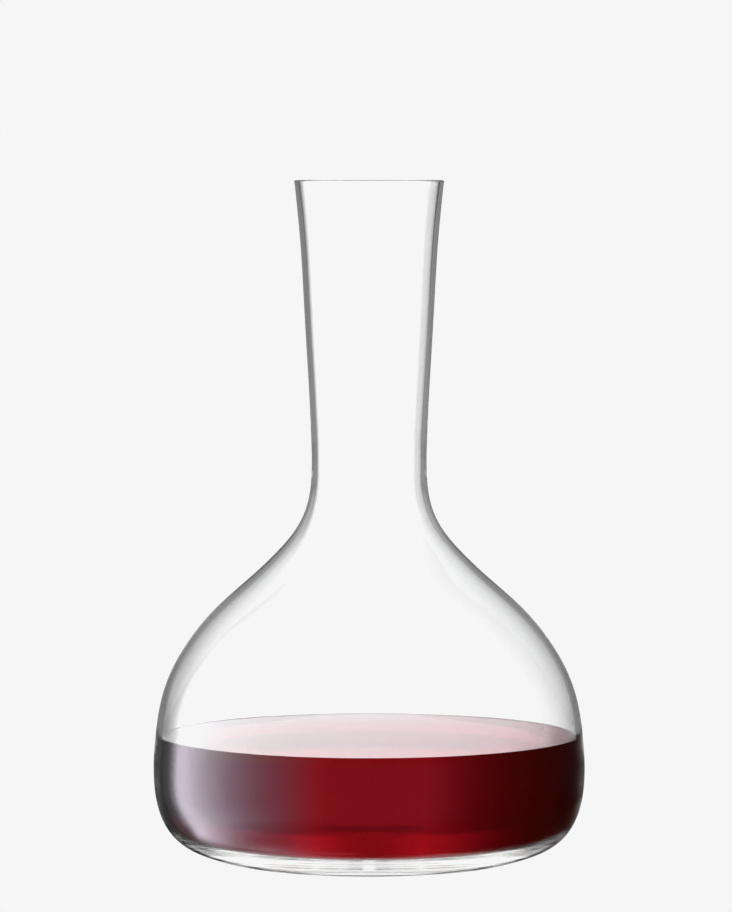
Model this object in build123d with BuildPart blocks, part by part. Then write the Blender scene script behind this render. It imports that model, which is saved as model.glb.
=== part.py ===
from build123d import *
import os
from math import exp

# A mouth-blown wine decanter, one piece of clear glass, holding one bottle of
# red wine. Millimetres, +Z up. The origin is the centre of the standing ring.
# Both pieces are half sections drawn on the XZ plane and revolved about Z.

os.makedirs("parts", exist_ok=True)

# ---------------------------------------------------------------- dimensions
HEIGHT = 256.0  # standing plane to the top of the rim

# foot
FOOT_OUTER_R = 53.15  # standing ring, outer edge of the flat
FOOT_INNER_R = 44.6  # standing ring, inner edge of the flat
RECESS_RISE = 1.2  # rise of the shallow recess under the foot, at the axis

# throat, the narrowest part inside the neck: a straight stretch
THROAT_R = 19.5  # inside radius
THROAT_LOW = 145.0
THROAT_HIGH = 155.6

# rim, cut flat and fire polished
RIM_OUTER_R = 28.20
RIM_INNER_R = 25.98
RIM_EDGE_R = 0.45  # radius of the polished edges

# wine
FILL_LEVEL = 46.5  # the flat of the surface, away from the glass
MENISCUS_RISE = 0.25  # how far the wine climbs the glass
MENISCUS_LENGTH = 0.9  # distance over which the climb falls to 1/e
MENISCUS_WIDTH = 5.0  # from the wine's edge in to the flat of the surface
MENISCUS_STATIONS = (0.3, 0.7, 1.2, 1.8, 2.6, 3.6)  # distances in from the edge
FILM_GAP = 0.05  # clearance between the wine and the glass
SKIN_STEPS = 40  # spans between points along the wine's floor and side

# Directions in the section, (radial, up)
OUTWARD = (1, 0)
INWARD = (-1, 0)
UPWARD = (0, 1)
RIM_FLARE = (0.115, 1)  # both faces of the neck, at the rim
RECESS_EDGE_SLOPE = (1, -0.09)  # recess where it meets the standing ring

# ------------------------------------------------------------------ profiles
# Every profile is a list of (radius, height).

# outside of the glass, from the foot to the rim
OUTSIDE = [
    (FOOT_OUTER_R, 0.0),
    (55.56, 0.19), (58.28, 0.78), (63.56, 2.35), (69.43, 4.85), (73.89, 8.24),
    (76.89, 12.12), (79.00, 16.48), (80.62, 22.30), (81.43, 29.09), (81.55, 35.88),
    (81.08, 43.64), (80.08, 52.36), (78.05, 62.06), (74.30, 71.76), (68.65, 81.45),
    (61.05, 91.15), (52.07, 99.88), (43.22, 107.64), (35.18, 115.39), (29.25, 122.18),
    (25.13, 128.97), (22.88, 135.76), (21.91, 142.55), (21.65, 150.30), (21.90, 160.00),
    (22.54, 174.55), (23.66, 193.94), (24.75, 213.33), (25.93, 232.73), (27.08, 245.33),
    (RIM_OUTER_R, HEIGHT),
]

# inside of the bowl, from the middle of the floor up to the throat
INSIDE_BOWL = [
    (0.0, 7.22), (13.58, 7.03), (26.18, 6.57), (38.79, 6.23), (50.42, 6.11),
    (59.64, 6.19), (65.45, 6.77), (69.33, 8.03), (71.95, 9.65), (73.99, 11.68),
    (76.12, 15.13), (77.67, 19.20), (78.74, 23.95), (79.18, 29.67), (79.13, 35.88),
    (78.69, 43.35), (77.72, 51.98), (75.73, 61.28), (72.10, 70.59), (66.64, 80.00),
    (59.25, 89.50), (50.46, 98.08), (41.60, 105.89), (33.52, 113.75), (27.43, 120.82),
    (23.08, 128.00), (20.65, 135.27),
    (THROAT_R, THROAT_LOW),
]
GLASS_FLOOR = INSIDE_BOWL[0][1]  # top of the glass floor, at the axis

# inside of the neck, from the throat up to the rim
INSIDE_NECK = [
    (THROAT_R, THROAT_HIGH),
    (19.80, 162.91), (20.45, 174.64), (21.58, 194.04), (22.61, 213.43),
    (23.78, 232.82), (24.87, 245.33),
    (RIM_INNER_R, HEIGHT),
]

# recess under the foot, from the axis out to the standing ring
RECESS = [
    (0, RECESS_RISE),
    (0.6 * FOOT_INNER_R, 0.78 * RECESS_RISE),
    (0.9 * FOOT_INNER_R, 0.30 * RECESS_RISE),
    (FOOT_INNER_R, 0),
]


# --------------------------------------------------------------------- glass
def build_glass():
    """The whole decanter, from one closed section with polished rim edges."""
    with BuildPart() as glass:
        with BuildSketch(Plane.XZ):
            with BuildLine():
                Line((FOOT_INNER_R, 0), (FOOT_OUTER_R, 0))
                Spline(OUTSIDE, tangents=[OUTWARD, RIM_FLARE])
                Line((RIM_OUTER_R, HEIGHT), (RIM_INNER_R, HEIGHT))
                Spline(INSIDE_NECK, tangents=[UPWARD, RIM_FLARE])
                Line((THROAT_R, THROAT_LOW), (THROAT_R, THROAT_HIGH))
                Spline(INSIDE_BOWL, tangents=[OUTWARD, UPWARD])
                Line((0, GLASS_FLOOR), (0, RECESS_RISE))
                Spline(RECESS, tangents=[OUTWARD, RECESS_EDGE_SLOPE])
            make_face()
            fillet(vertices().group_by(Axis.Y)[-1], radius=RIM_EDGE_R)
        revolve(axis=Axis.Z)
    return glass.part


# ---------------------------------------------------------------------- wine
def film_point(bowl, position):
    """The bowl's inside at a position from 0 to 1, moved in by the film gap."""
    point = bowl @ position
    along = (bowl % position).normalized()
    return (max(point.X - along.Y * FILM_GAP, 0.0), point.Y + along.X * FILM_GAP)


def find_contact(bowl):
    """Position on the bowl's curve where the wine's edge lies, by bisection."""
    edge_height = FILL_LEVEL + MENISCUS_RISE
    low, high = 0.0, 1.0
    for _ in range(50):
        middle = (low + high) / 2
        if film_point(bowl, middle)[1] < edge_height:
            low = middle
        else:
            high = middle
    return (low + high) / 2


def surface_height(inward):
    """Height of the surface at a distance in from the wine's edge."""
    return FILL_LEVEL + MENISCUS_RISE * exp(-inward / MENISCUS_LENGTH)


def build_wine():
    """The wine: it follows the bowl and its surface curls up at the glass."""
    bowl = Spline(INSIDE_BOWL, tangents=[OUTWARD, UPWARD])
    contact = find_contact(bowl)
    up_glass = bowl % contact

    skin = [film_point(bowl, contact * i / SKIN_STEPS) for i in range(SKIN_STEPS + 1)]
    floor_height = skin[0][1]
    edge_r = skin[-1][0]
    flat_r = edge_r - MENISCUS_WIDTH
    meniscus = [
        skin[-1],
        *[(edge_r - inward, surface_height(inward)) for inward in MENISCUS_STATIONS],
        (flat_r, FILL_LEVEL),
    ]

    with BuildPart() as wine:
        with BuildSketch(Plane.XZ):
            with BuildLine():
                Spline(skin, tangents=[OUTWARD, (up_glass.X, up_glass.Y)])
                Spline(meniscus, tangents=[(-MENISCUS_LENGTH, -MENISCUS_RISE), INWARD])
                Line((flat_r, FILL_LEVEL), (0, FILL_LEVEL))
                Line((0, FILL_LEVEL), (0, floor_height))
            make_face()
        revolve(axis=Axis.Z)
    return wine.part


# -------------------------------------------------------------------- export
for name, part in (("decanter_glass", build_glass()), ("wine", build_wine())):
    part.label = name
    export_step(part, f"parts/{name}.step")
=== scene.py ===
"""Looks of a wine decanter: blown glass, part filled with red wine.

It stands on z = 0 with its axis on Z, and the camera looks along +Y. The glass and the wine
are turned from their section profiles as smooth lathe meshes and stand for the CAD nodes.
Profiles are in mm, the scene in metres.
"""

import math

import bpy
import numpy as np
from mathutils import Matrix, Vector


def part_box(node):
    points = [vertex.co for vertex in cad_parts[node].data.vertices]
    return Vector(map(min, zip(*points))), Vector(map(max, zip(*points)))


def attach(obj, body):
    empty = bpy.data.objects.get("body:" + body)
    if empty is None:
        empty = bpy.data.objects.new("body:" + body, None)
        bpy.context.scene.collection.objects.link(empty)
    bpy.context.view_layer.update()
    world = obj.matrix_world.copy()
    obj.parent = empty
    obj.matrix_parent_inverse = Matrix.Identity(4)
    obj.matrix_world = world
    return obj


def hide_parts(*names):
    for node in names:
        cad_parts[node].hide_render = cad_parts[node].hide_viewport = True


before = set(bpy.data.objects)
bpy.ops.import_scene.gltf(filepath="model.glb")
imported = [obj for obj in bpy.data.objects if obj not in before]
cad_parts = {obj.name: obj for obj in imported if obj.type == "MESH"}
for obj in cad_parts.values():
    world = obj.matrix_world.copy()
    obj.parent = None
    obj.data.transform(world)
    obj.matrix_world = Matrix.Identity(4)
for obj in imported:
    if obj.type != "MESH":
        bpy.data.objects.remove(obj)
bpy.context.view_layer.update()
scene = bpy.context.scene

MM = 0.001
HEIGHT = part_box("decanter_glass")[1].z / MM
SEGMENTS = 208

# ------------------------------------------------------------------ profiles

FOOT_OUTER_R, FOOT_INNER_R = 53.15, 44.6
KICK_UP = 1.2  # how far the underside is hollowed at the axis
RIM_OUTER_R, RIM_INNER_R = 28.20, 25.98
RIM_EDGE = 0.45  # radius of the rim's two rounded edges
RIM_EDGE_OUTER_INSET, RIM_EDGE_INNER_INSET = 1.05, 0.95  # to the arc centres, in RIM_EDGE
RIM_EDGE_LEAN = 6.5  # degrees
RIM_CLEARANCE = 0.5  # kept free of wall samples below the rounded edges
RIM_DIRECTION = (0.115, 1)
THROAT_R, THROAT_LOW, THROAT_HIGH = 19.5, 145.0, 155.6
FILL_LEVEL, MENISCUS_RISE, MENISCUS_LENGTH = 46.5, 0.25, 0.9
CONTACT_LEVEL = FILL_LEVEL + MENISCUS_RISE
FILM_GAP = 0.05  # between the wine's skin and the glass

# (radius, height) in mm, upwards
OUTSIDE = [
    (FOOT_OUTER_R, 0.0), (55.56, 0.19), (58.28, 0.78), (63.56, 2.35), (69.43, 4.85),
    (73.89, 8.24), (76.89, 12.12), (79.00, 16.48), (80.62, 22.30), (81.43, 29.09),
    (81.55, 35.88), (81.08, 43.64), (80.08, 52.36), (78.05, 62.06), (74.30, 71.76),
    (68.65, 81.45), (61.05, 91.15), (52.07, 99.88), (43.22, 107.64), (35.18, 115.39),
    (29.25, 122.18), (25.13, 128.97), (22.88, 135.76), (21.91, 142.55), (21.65, 150.30),
    (21.90, 160.00), (22.54, 174.55), (23.66, 193.94), (24.75, 213.33), (25.93, 232.73),
    (27.08, 245.33), (RIM_OUTER_R, HEIGHT),
]
# (radius, height) in mm, from the axis outwards and up
INSIDE_BOWL = [
    (0.0, 7.22), (13.58, 7.03), (26.18, 6.57), (38.79, 6.23), (50.42, 6.11),
    (59.64, 6.19), (65.45, 6.77), (69.33, 8.03), (71.95, 9.65), (73.99, 11.68),
    (76.12, 15.13), (77.67, 19.20), (78.74, 23.95), (79.18, 29.67), (79.13, 35.88),
    (78.69, 43.35), (77.72, 51.98), (75.73, 61.28), (72.10, 70.59), (66.64, 80.00),
    (59.25, 89.50), (50.46, 98.08), (41.60, 105.89), (33.52, 113.75), (27.43, 120.82),
    (23.08, 128.00), (20.65, 135.27), (THROAT_R, THROAT_LOW),
]
# (radius, height) in mm, upwards
INSIDE_NECK = [
    (THROAT_R, THROAT_HIGH), (19.80, 162.91), (20.45, 174.64), (21.58, 194.04),
    (22.61, 213.43), (23.78, 232.82), (24.87, 245.33), (RIM_INNER_R, HEIGHT),
]
# (radius, height) in mm, from the axis out to the foot
KICK = [
    (0, KICK_UP), (0.6 * FOOT_INNER_R, 0.78 * KICK_UP), (0.9 * FOOT_INNER_R, 0.30 * KICK_UP),
    (FOOT_INNER_R, 0),
]
# meniscus stations: mm in from the contact line
MENISCUS_INWARD = [0, 0.1, 0.2, 0.35, 0.5, 0.7, 0.95, 1.25, 1.6, 2.1, 2.7, 3.4, 4.2, 5.0]


def unit(vectors):
    return vectors / np.hypot(*vectors.T)[:, None]


def left_of(slopes):
    """The directions a quarter turn anticlockwise."""
    return np.c_[-slopes[:, 1], slopes[:, 0]]


class Curve:
    """A cubic spline through points, by chord length, with given end directions."""

    def __init__(self, points, start, end):
        self.points = np.array(points, float)
        steps = np.diff(self.points, axis=0)
        self.knots = np.r_[0.0, np.cumsum(np.hypot(*steps.T))]
        gaps = np.diff(self.knots)
        count = len(self.knots)
        matrix = np.zeros((count, count))
        target = np.zeros((count, 2))
        matrix[0, 0] = matrix[-1, -1] = 1.0
        target[[0, -1]] = unit(np.array([start, end], float))
        for i in range(1, count - 1):
            before, after = gaps[i - 1], gaps[i]
            matrix[i, i - 1 : i + 2] = after, 2 * (after + before), before
            target[i] = 3 * (before * steps[i] / after + after * steps[i - 1] / before)
        self.tangents = np.linalg.solve(matrix, target)

    def at(self, where):
        """Points and unit directions at the given chord positions."""
        where = np.clip(where, 0, self.knots[-1])
        last = len(self.knots) - 2
        i = np.clip(np.searchsorted(self.knots, where, side="right") - 1, 0, last)
        gap = (self.knots[i + 1] - self.knots[i])[:, None]
        s = (where - self.knots[i])[:, None] / gap
        start, end = self.points[i], self.points[i + 1]
        start_tangent, end_tangent = self.tangents[i], self.tangents[i + 1]
        points = (
            (2 * s**3 - 3 * s**2 + 1) * start
            + (s**3 - 2 * s**2 + s) * gap * start_tangent
            + (-2 * s**3 + 3 * s**2) * end
            + (s**3 - s**2) * gap * end_tangent
        )
        slopes = (
            (6 * s**2 - 6 * s) * (start - end) / gap
            + (3 * s**2 - 4 * s + 1) * start_tangent
            + (3 * s**2 - 2 * s) * end_tangent
        )
        return points, unit(slopes)

    def sampled(self, step, low=0.0, high=None):
        """Points about step mm apart, from position low to high."""
        high = self.knots[-1] if high is None else high
        count = max(int(math.ceil((high - low) / step)), 2)
        return self.at(np.linspace(low, high, count + 1))


# A stretch is (points, slopes): section points in order, and the direction at each.


def arc(centre, start, end, steps=10):
    """A stretch round a rim edge, anticlockwise from start to end degrees."""
    angles = np.radians(np.linspace(start, end, steps + 1))
    cos, sin = np.cos(angles), np.sin(angles)
    return np.c_[centre[0] + RIM_EDGE * cos, centre[1] + RIM_EDGE * sin], np.c_[-sin, cos]


def straight(start, end, steps):
    start, end = np.array(start, float), np.array(end, float)
    points = start + (end - start) * np.linspace(0, 1, steps + 1)[:, None]
    return points, np.repeat([end - start], steps + 1, axis=0)


def backwards(stretch):
    points, slopes = stretch
    return points[::-1], -slopes[::-1]


def up_to_rim(stretch, corner, direction):
    """A wall's stretch, ended where the rim's rounded edge takes over."""
    points, slopes = stretch
    keep = points[:, 1] < HEIGHT - RIM_EDGE - RIM_CLEARANCE
    return np.vstack([points[keep], corner]), np.vstack([slopes[keep], direction])


def lathe(name, stretches):
    """A turned mesh. Each stretch starts where the last one ended, and a change of direction
    there is a crease. The corner normals are the section's own."""
    rings, bands = [stretches[0][0][0]], []
    for points, slopes in stretches:
        normals = -left_of(unit(slopes))
        rings.extend(points[1:])
        bands.extend(zip(normals[:-1], normals[1:]))
    angles = np.arange(SEGMENTS) * (2 * math.pi / SEGMENTS)
    cos, sin = np.cos(angles), np.sin(angles)

    def around(r, z):
        return np.c_[r * cos, r * sin, np.full(SEGMENTS, z)]

    verts, index = [], []
    count = 0
    for r, z in rings:
        if r < 1e-6:
            verts.append(np.array([[0.0, 0.0, z * MM]]))
            index.append([count] * SEGMENTS)
            count += 1
        else:
            verts.append(around(r, z) * MM)
            index.append(list(range(count, count + SEGMENTS)))
            count += SEGMENTS
    faces, corner_normals = [], []
    for a, b, (first, last) in zip(index[:-1], index[1:], bands):
        low, high = around(*first).tolist(), around(*last).tolist()
        for j in range(SEGMENTS):
            k = (j + 1) % SEGMENTS
            if a[j] == a[k]:
                faces.append([a[j], b[k], b[j]])
                corner_normals += [[0.0, 0.0, math.copysign(1.0, first[1])], high[k], high[j]]
            elif b[j] == b[k]:
                faces.append([a[j], a[k], b[j]])
                corner_normals += [low[j], low[k], [0.0, 0.0, math.copysign(1.0, last[1])]]
            else:
                faces.append([a[j], a[k], b[k], b[j]])
                corner_normals += [low[j], low[k], high[k], high[j]]
    mesh = bpy.data.meshes.new(name)
    mesh.from_pydata(np.vstack(verts).tolist(), [], faces)
    mesh.polygons.foreach_set("use_smooth", [True] * len(mesh.polygons))
    mesh.update(calc_edges=True)
    mesh.normals_split_custom_set(corner_normals)
    obj = bpy.data.objects.new(name, mesh)
    scene.collection.objects.link(obj)
    return obj


def bowl_stretches():
    """The inside of the bowl, split at the wine's contact line: (wet, dry)."""
    bowl = Curve(INSIDE_BOWL, (1, 0), (0, 1))
    fine = np.linspace(0, bowl.knots[-1], 20001)
    points, slopes = bowl.at(fine)
    film = points + left_of(slopes) * FILM_GAP
    wall = slice(2000, None)  # leaves out the middle of the bowl's floor
    contact = float(np.interp(CONTACT_LEVEL, film[wall, 1], fine[wall]))
    return bowl.sampled(1.3, high=contact), bowl.sampled(1.7, low=contact)


def make_decanter(bowl_wet, bowl_dry):
    edge_z = HEIGHT - RIM_EDGE
    outer_centre = (RIM_OUTER_R - RIM_EDGE * RIM_EDGE_OUTER_INSET, edge_z)
    inner_centre = (RIM_INNER_R + RIM_EDGE * RIM_EDGE_INNER_INSET, edge_z)
    edge_out = arc(outer_centre, -RIM_EDGE_LEAN, 90)
    edge_in = arc(inner_centre, 90, 180 - RIM_EDGE_LEAN)
    outside = Curve(OUTSIDE, (1, 0), RIM_DIRECTION).sampled(1.7)
    neck = Curve(INSIDE_NECK, (0, 1), RIM_DIRECTION).sampled(1.9)
    return lathe(
        "decanter_vessel",
        [
            Curve(KICK, (1, 0), (1, -0.09)).sampled(2.0),
            straight((FOOT_INNER_R, 0), (FOOT_OUTER_R, 0), 4),
            up_to_rim(outside, edge_out[0][0], edge_out[1][0]),
            edge_out,
            straight(edge_out[0][-1], edge_in[0][0], 3),
            edge_in,
            backwards(up_to_rim(neck, edge_in[0][-1], -edge_in[1][-1])),
            straight((THROAT_R, THROAT_HIGH), (THROAT_R, THROAT_LOW), 6),
            backwards(bowl_dry),
            backwards(bowl_wet),
        ],
    )


def make_wine(bowl_wet):
    """The skin along the glass at the film gap, then the meniscus, then the flat."""
    points, slopes = bowl_wet
    skin = points + left_of(slopes) * FILM_GAP
    skin[:, 0] = np.maximum(skin[:, 0], 0.0)
    contact_r, contact_z = skin[-1]
    inward = np.array(MENISCUS_INWARD)
    tail = math.exp(-inward[-1] / MENISCUS_LENGTH)
    # 1 at the glass, falling to 0 at the last station
    raised = (np.exp(-inward / MENISCUS_LENGTH) - tail) / (1 - tail)
    climb = np.c_[contact_r - inward, contact_z - MENISCUS_RISE * (1 - raised)]
    climb_slopes = np.c_[-np.ones(len(inward)), -MENISCUS_RISE / MENISCUS_LENGTH * raised]
    flat = straight(climb[-1], (0.0, climb[-1][1]), 20)
    return lathe("wine_fill", [(skin, slopes), (climb, climb_slopes), flat])


wet, dry = bowl_stretches()
decanter = make_decanter(wet, dry)
wine = make_wine(wet)

for piece, cad_node, slot in (
    (decanter, "decanter_glass", "clear_glass"),
    (wine, "wine", "red_wine"),
):
    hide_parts(cad_node)
    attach(piece, "root")


# ------------------------------------------------------------- node helpers


class Nodes:
    """Adds nodes to an emptied tree. A value may be a number, a tuple or a socket to link."""

    def __init__(self, tree):
        self.tree = tree
        tree.nodes.clear()

    def add(self, kind, inputs=None, **settings):
        made = self.tree.nodes.new(kind)
        for key, value in settings.items():
            setattr(made, key, value)
        for key, value in (inputs or {}).items():
            if isinstance(value, bpy.types.NodeSocket):
                self.tree.links.new(value, made.inputs[key])
            else:
                made.inputs[key].default_value = value
        return made

    def maths(self, operation, *values):
        return self.add("ShaderNodeMath", dict(enumerate(values)), operation=operation).outputs[0]

    def plus(self, first, second):
        return self.maths("ADD", first, second)

    def minus(self, first, second):
        return self.maths("SUBTRACT", first, second)

    def times(self, first, second):
        return self.maths("MULTIPLY", first, second)

    def vector(self, operation, *values, output=0):
        inputs = dict(enumerate(values))
        return self.add("ShaderNodeVectorMath", inputs, operation=operation).outputs[output]

    def scaled(self, colour, amount):
        inputs = {0: colour, "Scale": amount}
        return self.add("ShaderNodeVectorMath", inputs, operation="SCALE").outputs[0]

    def mixed(self, factor, first, second):
        inputs = {0: factor, 6: first, 7: second}
        return self.add("ShaderNodeMix", inputs, data_type="RGBA").outputs[2]

    def rise(self, value, span):
        """0 below the span, 1 above it, smooth between."""
        inputs = {"Value": value, "From Min": span[0], "From Max": span[1]}
        kind = "ShaderNodeMapRange"
        return self.add(kind, inputs, interpolation_type="SMOOTHSTEP").outputs[0]

    def between(self, value, span, ends):
        """Goes smoothly from the first of ends to the last as the value crosses the span."""
        first, last = ends
        return self.maths("MULTIPLY_ADD", self.rise(value, span), last - first, first)

    def ramp(self, factor, stops, scale):
        """A ramp over stops of (position 0 to 1, (r, g, b)), its colours divided by scale."""
        made = self.add("ShaderNodeValToRGB", {"Fac": factor})
        elements = made.color_ramp.elements
        while len(elements) > 1:
            elements.remove(elements[-1])
        for i, (position, colour) in enumerate(stops):
            element = elements[0] if i == 0 else elements.new(position)
            element.position = position
            element.color = [c / scale for c in colour] + [1.0]
        return made.outputs["Color"]


# ---------------------------------------------------------------- the studio
# Soft light that stays with the camera: a bright backdrop behind the object, dark flags at
# its sides and one tall softbox at the left. Light that has come through more of the object's
# surfaces is looked up in a tighter studio, because thick glass and wine show only what
# stands close behind them.

TOP = 10.0  # ramp colours are stored divided by this
# colours as the ramps store them: the plain pale ground, one flat light for rays steeply through
# the wine, and painted near-black shade for light turned back many times inside the wine
PALE_FLOOR = (1.0 / TOP, 1.0 / TOP, 1.0 / TOP, 1)
STEEP_WINE_LIGHT = (0.068, 0.055, 0.0575, 1)
DEEP_WINE_PAINTED_SHADE = (0.002, 0.0005, 0.0005, 1)


def azimuth_stops(pairs):
    """Ramp stops from (degrees from straight behind, brightness or colour)."""
    return [((a + 180) / 360, c if isinstance(c, tuple) else (c, c, c)) for a, c in pairs]


# the softbox: azimuth, brightness, tint
SOFTBOX = [
    (-180, 0.035, (1, 0.86, 1.55)), (-161, 0.035, (1, 0.86, 1.4)), (-155, 0.05, (1, 0.8, 1.1)),
    (-148, 0.12, (1, 0.8, 1.12)), (-141, 0.21, (1, 0.8, 1.14)), (-134, 0.33, (1, 0.8, 1.15)),
    (-127, 0.48, (1, 0.8, 1.14)), (-120, 0.65, (1, 0.81, 1.1)), (-113, 0.87, (0.97, 0.83, 1.07)),
    (-105, 1.18, (0.96, 0.84, 1.06)), (-96, 1.6, (0.95, 0.85, 1.08)),
    (-88, 2.1, (0.94, 0.87, 1.04)), (-78, 2.6, (0.94, 0.87, 1.0)), (-64, 3.0, (0.94, 0.87, 1.0)),
    (-57, 2.6, (0.94, 0.87, 1.0)), (-53.5, 1.85, (0.94, 0.87, 1.0)),
    (-49, 0.65, (0.95, 0.88, 1.0)), (-43, 0.17, (0.95, 0.9, 1.0)),
]
BOX = [(a, tuple(v * c for c in tint)) for a, v, tint in SOFTBOX]
NEUTRAL_BOX = [(a, v) for a, v, tint in SOFTBOX]
HAZE = (0.035, 0.03, 0.055)
HAZE_END = [(150, HAZE), (180, HAZE)]
# thrown back by the outside of the object
REFLECTED = azimuth_stops(BOX + [
    (-31, 0.03), (-10, 0.06), (10, 0.06), (31, 0.02), (60, 0.01), (120, 0.01),
] + HAZE_END)
# turned back once inside a wall: low down, where the wine stands, and higher up
BAND_LOW = azimuth_stops(BOX + [
    (-31, 0.07), (-12, 0.055), (-6, 0.1), (6, 0.1), (12, (0.05, 0.046, 0.038)),
    (18, (0.04, 0.028, 0.02)), (24, (0.03, 0.006, 0.004)), (45, (0.02, 0.003, 0.003)),
    (60, 0.005), (120, 0.005),
] + HAZE_END)
BAND_HIGH = azimuth_stops(NEUTRAL_BOX + [
    (-31, 0.27), (-12, 0.27), (-5, 0.52), (5, 0.52), (12, 0.25), (20, 0.29), (31, 0.34),
    (50, 0.2), (65, 0.01), (180, 0.005),
])
# the same, on the shoulder, where the wall leans in
BAND_LEANING = azimuth_stops(NEUTRAL_BOX + [
    (-31, 0.62), (-20, 0.48), (-9, 0.32), (-4, 0.4), (4, 0.4), (9, 0.31), (14, 0.36),
    (18, 0.43), (22, 0.5), (31, 0.52), (50, 0.25), (65, 0.01), (180, 0.005),
])
# REFLECTED and BAND_LOW, thrown well down
EDGE_DOWN = azimuth_stops(BOX + [
    (-31, 0.035), (-10, 0.03), (10, (0.03, 0.022, 0.018)), (25, (0.03, 0.008, 0.006)),
    (45, (0.02, 0.004, 0.003)), (60, 0.005), (120, 0.005),
] + HAZE_END)
# led along inside the thick glass of the base
GUIDED = azimuth_stops([
    (-180, 0.95), (-150, 0.85), (-125, 0.02), (-49, 0.02), (-42, 0.4), (-35, (1.6, 1.59, 1.56)),
    (-12, (1.38, 1.37, 1.34)), (-6, 1.3), (0, 1.17), (6, 1.3), (12, (1.38, 1.37, 1.34)),
    (36, (1.6, 1.59, 1.56)), (44, 0.4), (52, 0.02), (125, 0.02), (150, 0.85), (180, 0.95),
])
# through both walls, with no wine between
CLEAR = azimuth_stops([
    (-180, 0.02), (-60, 0.2), (-38, 0.35), (-24, 0.48), (-12, 0.82), (-8, 1.16), (-5.5, 1.34),
    (5.5, 1.34), (8, 1.26), (12, 1.08), (24, 0.92), (40, 0.5), (60, 0.2), (180, 0.02),
])
# thrown back by the wine, by the far wall, and by the wine's surface
BOUNCED_LOW = azimuth_stops(BOX + [
    (-31, 0.05), (-10, 0.08), (10, (0.06, 0.03, 0.03)), (31, (0.02, 0.004, 0.004)),
    (60, 0.005), (120, 0.005),
] + HAZE_END)
BOUNCED_HIGH = azimuth_stops(NEUTRAL_BOX + [
    (-38, 0.4), (-24, 0.7), (-14, 0.95), (-8, 0.65), (8, 0.65), (14, 1.1), (24, 1.25),
    (40, 0.95), (55, 0.3), (68, 0.01), (180, 0.005),
])
SURFACE = azimuth_stops([
    (-180, 0.02), (-60, 0.5), (-25, 1.45), (-3, 1.75), (-1, (1.72, 1.67, 1.69)),
    (0, (1.72, 1.63, 1.66)), (1.2, (1.69, 1.53, 1.57)), (2.5, (1.64, 1.41, 1.47)),
    (4.5, (1.36, 1.08, 1.15)), (7, (0.98, 0.73, 0.79)), (10, (0.76, 0.57, 0.62)),
    (20, (0.6, 0.45, 0.5)), (40, 0.3), (180, 0.02),
])
# through the wine
THROUGH = azimuth_stops([
    (-180, 0.005), (-60, (0.04, 0.003, 0.002)), (-45, (0.095, 0.012, 0.008)),
    (-37, (0.13, 0.03, 0.02)), (-28, (0.16, 0.06, 0.05)), (-21.5, (0.23, 0.12, 0.12)),
    (-16.5, (0.35, 0.25, 0.25)), (-12, (0.6, 0.5, 0.5)), (-7, 1.12), (7, 1.15), (12, 0.65),
    (16.5, 0.42), (21, 0.3), (28, 0.2), (37, 0.11), (45, 0.02), (180, 0.01),
])
# through the wine after its floor has thrown the light up
LIFTED = azimuth_stops([
    (-180, 0.005), (-60, 0.01), (-45, (0.07, 0.002, 0.002)), (-37, (0.1, 0.008, 0.008)),
    (-28, (0.16, 0.05, 0.05)), (-21, (0.32, 0.15, 0.16)), (-16.5, (0.6, 0.4, 0.45)),
    (-12, (1.15, 1.0, 1.1)), (-7, (1.75, 1.5, 1.6)), (-3, (1.3, 1.15, 1.2)),
    (0, (1.12, 1.05, 1.1)), (3, (1.35, 1.2, 1.3)), (7, (1.8, 2.0, 2.2)), (10, (1.6, 2.6, 2.8)),
    (12, (1.05, 2.2, 2.2)), (16.5, (0.78, 1.6, 1.7)), (21, (0.58, 1.4, 1.55)),
    (28, (0.38, 0.85, 0.95)), (33, (0.25, 0.42, 0.46)), (36, 0.19), (40, (0.2, 0.27, 0.26)),
    (46, (0.28, 0.7, 0.64)), (52, (0.26, 0.78, 0.72)), (58, (0.1, 0.42, 0.39)),
    (64, (0.03, 0.12, 0.11)), (180, 0.005),
])
# through the wine and down to the floor
DOWN = azimuth_stops([
    (-180, 0.3), (-60, 0.4), (-40, (0.56, 0.66, 0.66)), (40, (0.56, 0.66, 0.66)), (60, 0.4),
    (180, 0.3),
])


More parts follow.
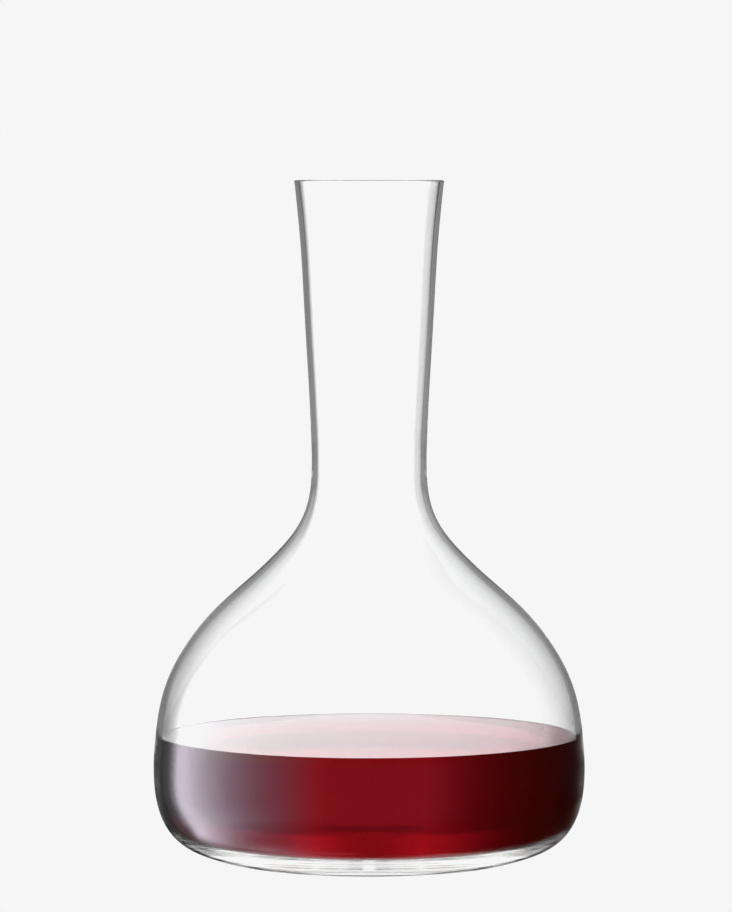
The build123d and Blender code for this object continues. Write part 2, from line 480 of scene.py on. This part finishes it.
class Studio(Nodes):
    """The studio's light in the direction of the ray, as a node group.

    Spans of elevation, down and ahead are in degrees, of azimuth in radians and of height
    in metres.
    """

    def __init__(self):
        super().__init__(bpy.data.node_groups.new("studio_light", "ShaderNodeTree"))
        for name, way, kind in (
            ("Color", "OUTPUT", "Color"),
            ("Height", "INPUT", "Float"),
            ("Height Known", "INPUT", "Float"),
        ):
            self.tree.interface.new_socket(name, in_out=way, socket_type="NodeSocket" + kind)
        out = self.add("NodeGroupOutput")
        self.height, self.height_known = self.add("NodeGroupInput").outputs[:2]
        self.measure_ray()

        # the more surfaces crossed, the tighter the studio
        picked = self.reflected()
        high = self.above_wine()
        in_wall = self.in_wall(high)
        clear = self.clear(high)
        through = self.through()
        for crossings, light in ((1, in_wall), (3, clear), (5, through)):
            picked = self.mixed(self.reached(self.crossed, crossings), picked, light)
        light = self.scaled(picked, TOP)
        # straight to the camera: the plain pale ground
        shown = self.mixed(self.path["Is Camera Ray"], light, (1, 1, 1, 1))
        self.tree.links.new(shown, out.inputs[0])

    def measure_ray(self):
        """The ray's angles and depths, and what several of the lights share."""
        incoming = self.add("ShaderNodeNewGeometry").outputs["Incoming"]
        turned = self.add(
            "ShaderNodeVectorTransform",
            {"Vector": self.vector("MULTIPLY", incoming, (-1, -1, -1))},
            vector_type="VECTOR", convert_from="WORLD", convert_to="CAMERA",
        ).outputs[0]
        x, y, z = self.add("ShaderNodeSeparateXYZ", {0: turned}).outputs
        self.azimuth = self.maths("ARCTAN2", x, z)
        self.turn = self.maths("MULTIPLY_ADD", self.azimuth, 1 / (2 * math.pi), 0.5)
        flat = self.maths("SQRT", self.plus(self.times(x, x), self.times(z, z)))
        self.elevation = self.times(self.maths("ARCTAN2", y, flat), 180 / math.pi)
        self.path = self.add("ShaderNodeLightPath").outputs
        self.crossed = self.path["Transmission Depth"]
        self.turned_back = self.path["Glossy Depth"]

        self.fade = self.times(
            self.between(self.elevation, span=(-50.0, -24.0), ends=(0.25, 1.0)),
            self.between(self.elevation, span=(-74.0, -56.0), ends=(0.3, 1.0)),
        )
        # the floor in front shows where the object throws the light well down
        self.down = self.times(self.elevation, -1.0)
        sideways = self.times(self.maths("ABSOLUTE", self.azimuth), 1.1 * 180 / math.pi)
        self.ahead = self.minus(self.down, sideways)
        self.on_floor = self.times(
            self.rise(self.ahead, span=(-2.0, 4.0)), self.rise(self.down, span=(17.0, 24.0))
        )
        # the softbox stands a little closer in at its foot
        foot_turn = self.between(self.elevation, span=(-31.0, -23.0), ends=(-8.0 / 360, 0.0))
        leaning = self.plus(self.turn, foot_turn)
        self.edge_down = self.scaled(self.lit(EDGE_DOWN, leaning), self.fade)
        self.level = self.rise(self.elevation, span=(-11.0, -5.0))

    def lit(self, stops, towards=None):
        return self.ramp(towards or self.turn, stops, TOP)

    def reached(self, count, least):
        return self.maths("GREATER_THAN", count, least - 0.5)

    def reflected(self):
        light = self.mixed(self.level, self.edge_down, self.lit(REFLECTED))
        return self.mixed(self.on_floor, light, PALE_FLOOR)

    def above_wine(self):
        """1 above the wine's line: by the height the ray left at, if known, or its elevation."""
        line = CONTACT_LEVEL * MM
        # light that grazes the side of the bowl leaves it lower than it met the wine's line
        side = (math.radians(-28), math.radians(-8))
        lower = self.between(self.azimuth, span=side, ends=(0.0003, 0.0018))
        halfway = self.minus(self.height, lower)
        unknown = self.minus(1.0, self.height_known)
        by_height = self.rise(halfway, span=(line - 0.0006, line + 0.0002))
        return self.plus(
            self.times(self.height_known, by_height),
            self.times(unknown, self.rise(self.elevation, span=(-0.9, -0.2))),
        )

    def in_wall(self, high):
        low_band = self.mixed(self.level, self.edge_down, self.lit(BAND_LOW))
        shoulder = self.rise(self.elevation, span=(1.5, 9.5))
        high_band = self.mixed(shoulder, self.lit(BAND_HIGH), self.lit(BAND_LEANING))
        # a little brighter on the floor
        gain = self.maths("MULTIPLY_ADD", self.height_known, 0.12, 1.0)
        band = self.mixed(high, low_band, self.scaled(high_band, gain))
        part_floor = self.times(
            self.rise(self.ahead, span=(8.0, 18.0)), self.rise(self.down, span=(30.0, 40.0))
        )
        steep = self.between(self.down, span=(60.0, 72.0), ends=(0.5, 0.0))
        band = self.mixed(self.times(part_floor, steep), band, PALE_FLOOR)
        band = self.mixed(self.reached(self.turned_back, 1), PALE_FLOOR, band)
        dimming = self.between(self.elevation, span=(5.0, 15.0), ends=(1.0, 0.88))
        guided = self.scaled(self.lit(GUIDED), dimming)
        return self.mixed(self.reached(self.turned_back, 8), band, guided)

    def clear(self, high):
        low_bounce = self.scaled(self.lit(BOUNCED_LOW), self.fade)
        bounced = self.mixed(high, low_bounce, self.lit(BOUNCED_HIGH))
        upward = self.rise(self.elevation, span=(5.5, 8.5))
        bounced = self.mixed(upward, bounced, self.lit(SURFACE))
        tilt = self.maths("ABSOLUTE", self.elevation)
        steep = self.between(tilt, span=(16.0, 24.0), ends=(1.0, 0.12))
        direct = self.scaled(self.lit(CLEAR), steep)
        return self.mixed(self.reached(self.turned_back, 1), direct, bounced)

    def through(self):
        # painted shade: the light through the wine is darkened in a thin arc where the far edge
        # of the wine's floor shows, the lifted light below it
        painted_dark_arc = self.times(
            self.rise(self.elevation, span=(8.3, 9.0)),
            self.between(self.elevation, span=(9.4, 10.1), ends=(0.4, 0.0)),
        )
        aside = self.maths("ABSOLUTE", self.azimuth)
        sides = (math.radians(4.0), math.radians(9.0))
        narrow = self.between(aside, span=sides, ends=(1.0, 0.0))
        kept = self.minus(1.0, self.times(painted_dark_arc, narrow))
        light = self.scaled(self.lit(THROUGH), kept)
        light = self.mixed(self.rise(self.elevation, span=(10.0, 10.9)), light, self.lit(LIFTED))
        light = self.mixed(self.rise(self.elevation, span=(-19.0, -15.0)), self.lit(DOWN), light)
        # one flat light steeply through the wine, and painted near-black shade once the light has
        # turned back six times or more
        light = self.mixed(self.rise(self.elevation, span=(22.0, 34.0)), light, STEEP_WINE_LIGHT)
        return self.mixed(self.reached(self.turned_back, 6), light, DEEP_WINE_PAINTED_SHADE)


studio = Studio().tree

world = bpy.data.worlds.new("studio")
world.use_nodes = True
scene.world = world
nodes = Nodes(world.node_tree)
light = nodes.add("ShaderNodeGroup", node_tree=studio)
background = nodes.add("ShaderNodeBackground", {"Color": light.outputs[0]})
nodes.add("ShaderNodeOutputWorld", {"Surface": background.outputs[0]})


# ---------------------------------------------------------------- materials


def material(name):
    made = bpy.data.materials.new(name)
    made.use_nodes = True
    return made, Nodes(made.node_tree)


def floor_pale():
    """Glows with the studio's light, told how high above the floor the ray left the object:
    back along it to the bowl's outside."""
    bowl_r = 0.0807  # metres
    made, nodes = material("floor_pale")
    geometry = nodes.add("ShaderNodeNewGeometry").outputs
    ray = nodes.vector("MULTIPLY", geometry["Incoming"], (-1, -1, 0))
    heading = nodes.vector("NORMALIZE", ray)
    spot = nodes.vector("MULTIPLY", geometry["Position"], (1, 1, 0))
    ahead = nodes.vector("DOT_PRODUCT", spot, heading, output="Value")
    away = nodes.vector("DOT_PRODUCT", spot, spot, output="Value")
    side = nodes.minus(away, nodes.times(ahead, ahead))
    inside = nodes.maths("MAXIMUM", nodes.minus(bowl_r**2, side), 0.0)
    run = nodes.minus(ahead, nodes.maths("SQRT", inside))
    fall = nodes.add("ShaderNodeSeparateXYZ", {0: geometry["Incoming"]}).outputs[2]
    flat = nodes.vector("LENGTH", ray, output="Value")
    left_at = nodes.times(run, nodes.maths("DIVIDE", fall, flat))
    inputs = {"Height": left_at, "Height Known": 1.0}
    light = nodes.add("ShaderNodeGroup", inputs, node_tree=studio)
    glow = nodes.add("ShaderNodeEmission", {"Color": light.outputs[0]})
    nodes.add("ShaderNodeOutputMaterial", {"Surface": glow.outputs[0]})
    return made


def waves(nodes, scale, stretch, height):
    """Broad soft waves of the given height in metres: the pattern, and the normal."""
    where = nodes.add("ShaderNodeTexCoord").outputs["Object"]
    where = nodes.add("ShaderNodeMapping", {"Vector": where, "Scale": stretch}).outputs[0]
    inputs = {"Vector": where, "Scale": scale, "Detail": 1.0}
    noise = nodes.add("ShaderNodeTexNoise", inputs).outputs[0]
    inputs = {"Height": noise, "Distance": height, "Strength": 1.0}
    return noise, nodes.add("ShaderNodeBump", inputs).outputs[0]


def clear_body(nodes, colour, ior, normal):
    inputs = {
        "Base Color": colour,
        "Roughness": 0.0,
        "IOR": ior,
        "Transmission Weight": 1.0,
        "Normal": normal,
    }
    return nodes.add("ShaderNodeBsdfPrincipled", inputs).outputs[0]


def clear_glass():
    """Blown glass: a slightly uneven skin and a trace of green."""
    made, nodes = material("clear_glass")
    uneven, normal = waves(nodes, scale=16.0, stretch=(1, 1, 0.45), height=0.00002)
    tint = nodes.mixed(uneven, (1, 1, 1, 1), (0.994, 0.998, 0.996, 1))
    body = clear_body(nodes, tint, ior=1.5, normal=normal)
    nodes.add("ShaderNodeOutputMaterial", {"Surface": body})
    return made


def red_wine():
    """A liquid just come to rest, coloured by its depth."""
    made, nodes = material("red_wine")
    normal = waves(nodes, scale=30.0, stretch=(1, 1, 1), height=0.000006)[1]
    body = clear_body(nodes, (1, 1, 1, 1), ior=1.34, normal=normal)
    inputs = {"Color": (0.75, 0.0263, 0.1316, 1), "Density": 38.0}
    absorb = nodes.add("ShaderNodeVolumeAbsorption", inputs).outputs[0]
    nodes.add("ShaderNodeOutputMaterial", {"Surface": body, "Volume": absorb})
    return made


FLOOR_HALF, FLOOR_DROP = 3, 0.00005  # metres
floor_mesh = bpy.data.meshes.new("floor")
corners = [(x * FLOOR_HALF, y * FLOOR_HALF, 0) for x, y in ((-1, -1), (1, -1), (1, 1), (-1, 1))]
floor_mesh.from_pydata(corners, [], [(0, 1, 2, 3)])
floor = bpy.data.objects.new("floor", floor_mesh)
floor.location.z = -FLOOR_DROP
scene.collection.objects.link(floor)

floor_mesh.materials.append(floor_pale())
decanter.data.materials.append(clear_glass())
wine.data.materials.append(red_wine())

# --------------------------------------------------------- camera and render

CAMERA_X, CAMERA_DISTANCE = -0.0012, 1.8996  # metres
CAMERA_ABOVE_RIM = 8.0  # mm
CAMERA_DOWN_TILT = 3.372  # degrees
camera_data = bpy.data.cameras.new("camera")
camera_data.sensor_width = 36.0
camera_data.sensor_fit = "AUTO"
camera_data.lens = 199.0
camera_data.clip_end = 50
camera = bpy.data.objects.new("camera", camera_data)
scene.collection.objects.link(camera)
camera.location = (CAMERA_X, -CAMERA_DISTANCE, (HEIGHT + CAMERA_ABOVE_RIM) * MM)
camera.rotation_euler = (math.radians(90 - CAMERA_DOWN_TILT), 0, 0)
scene.camera = camera

PALE = 0.9216  # display value of the pale ground; nothing shows brighter
view = scene.view_settings
view.view_transform = "Standard"
view.look = "None"
view.use_curve_mapping = True
curves = view.curve_mapping
curves.extend = "HORIZONTAL"
curves.curves[3].points[1].location = (1.0, PALE)
curves.update()
scene.cycles.max_bounces = 300
scene.cycles.transmission_bounces = 300
scene.cycles.glossy_bounces = 300
scene.cycles.transparent_max_bounces = 24
scene.cycles.blur_glossy = 0.0
scene.cycles.sample_clamp_indirect = 0.0

bpy.context.view_layer.update()
